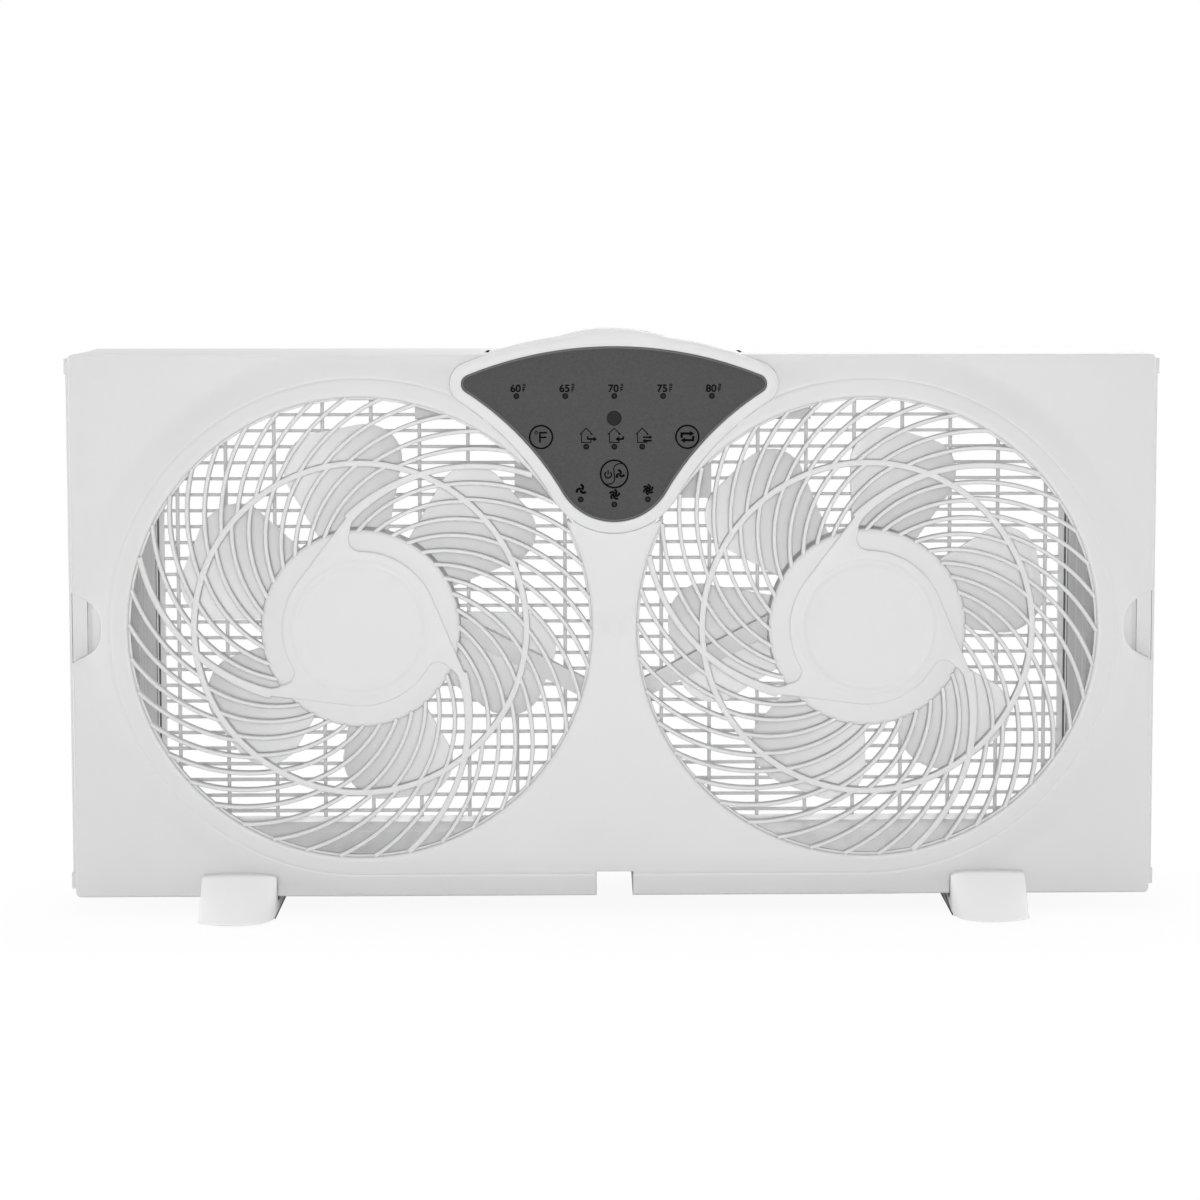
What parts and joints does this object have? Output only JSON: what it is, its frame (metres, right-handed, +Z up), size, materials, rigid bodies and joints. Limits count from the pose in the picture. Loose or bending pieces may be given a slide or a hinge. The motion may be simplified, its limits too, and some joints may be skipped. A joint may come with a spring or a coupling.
{
  "type": "window fan",
  "caption": "Wide white window fan with paired round openings behind swirled guards, a dark arched control panel, telescoping side panels and feet.",
  "frame": {"origin": "middle of the footprint, on the ground under the feet", "axes": "+X along the width to the right as seen from the room, +Z up, and the front of the fan faces -Y"},
  "size_m": [0.6336, 0.164, 0.3398],
  "materials": {
    "white_moulding": "fine satin",
    "shaded_moulding": "satin",
    "dark_panel": "satin",
    "dark_lens": "gloss",
    "light_lens": "gloss",
    "circuit_board": "lacquered",
    "black_plastic": "satin",
    "screw_steel": "plated",
    "motor_case": "pressed, satin",
    "stator_steel": "laminated",
    "winding_copper": "enamelled wire",
    "rotor_aluminium": "turned",
    "bearing_bronze": "sintered",
    "capacitor_case": "dipped",
    "pad_rubber": "matt"
  },
  "bodies": {
    "housing": {"front_cover": "white_moulding", "left_front_guard": "white_moulding", "right_front_guard": "white_moulding", "left_wire_conduit": "white_moulding", "right_wire_conduit": "white_moulding", "centre_wire_duct": "white_moulding", "control_bezel": "white_moulding", "control_panel": "dark_panel", "receiver_window": "dark_lens", "indicator_lights": "light_lens", "control_board": "circuit_board", "button_switches": "black_plastic", "board_screws": "screw_steel", "control_housing": "white_moulding", "left_motor_front_case": "motor_case", "left_motor_rear_case": "motor_case", "left_stator": "stator_steel", "left_windings": "winding_copper", "left_bearings": "bearing_bronze", "right_motor_front_case": "motor_case", "right_motor_rear_case": "motor_case", "right_stator": "stator_steel", "right_windings": "winding_copper", "right_bearings": "bearing_bronze", "motor_screws": "screw_steel", "rear_housing": "white_moulding", "rear_grille": "white_moulding", "terminal_box": "white_moulding", "housing_screws": "screw_steel", "left_foot": "white_moulding", "right_foot": "white_moulding", "left_foot_pads": "pad_rubber", "right_foot_pads": "pad_rubber", "cord_bush": "shaded_moulding", "start_capacitors": "capacitor_case"},
    "left_fan": {"left_rotor": "rotor_aluminium", "left_shaft": "screw_steel", "left_fan_blades": "shaded_moulding", "left_blade_nut": "white_moulding"},
    "right_fan": {"right_rotor": "rotor_aluminium", "right_shaft": "screw_steel", "right_fan_blades": "shaded_moulding", "right_blade_nut": "white_moulding"},
    "left_sleeve": {"left_panel_sleeve": "white_moulding"},
    "left_panel": {"left_side_panel": "white_moulding"},
    "right_sleeve": {"right_panel_sleeve": "white_moulding"},
    "right_panel": {"right_side_panel": "white_moulding"},
    "power_key": {"power_button": "dark_panel"},
    "temperature_key": {"temperature_button": "dark_panel"},
    "direction_key": {"direction_button": "dark_panel"}
  },
  "joints": [
    {"name": "left_fan_spin", "type": "hinge", "parent": "housing", "child": "left_fan", "pos_m": [-0.146, 0, 0.1675], "axis": [0, 1, 0], "continuous": true},
    {"name": "right_fan_spin", "type": "hinge", "parent": "housing", "child": "right_fan", "pos_m": [0.146, 0, 0.1675], "axis": [0, 1, 0], "continuous": true},
    {"name": "left_sleeve_slide", "type": "slide", "parent": "housing", "child": "left_sleeve", "axis": [-1, 0, 0], "range_m": [0, 0.026]},
    {"name": "left_panel_slide", "type": "slide", "parent": "left_sleeve", "child": "left_panel", "axis": [-1, 0, 0], "range_m": [0, 0.024]},
    {"name": "right_sleeve_slide", "type": "slide", "parent": "housing", "child": "right_sleeve", "axis": [1, 0, 0], "range_m": [0, 0.026]},
    {"name": "right_panel_slide", "type": "slide", "parent": "right_sleeve", "child": "right_panel", "axis": [1, 0, 0], "range_m": [0, 0.024]},
    {"name": "power_press", "type": "slide", "parent": "housing", "child": "power_key", "axis": [0, 1, 0], "range_m": [0, 0.0005], "stiffness_N_per_m": 400},
    {"name": "temperature_press", "type": "slide", "parent": "housing", "child": "temperature_key", "axis": [0, 1, 0], "range_m": [0, 0.0005], "stiffness_N_per_m": 400},
    {"name": "direction_press", "type": "slide", "parent": "housing", "child": "direction_key", "axis": [0, 1, 0], "range_m": [0, 0.0005], "stiffness_N_per_m": 400}
  ]
}
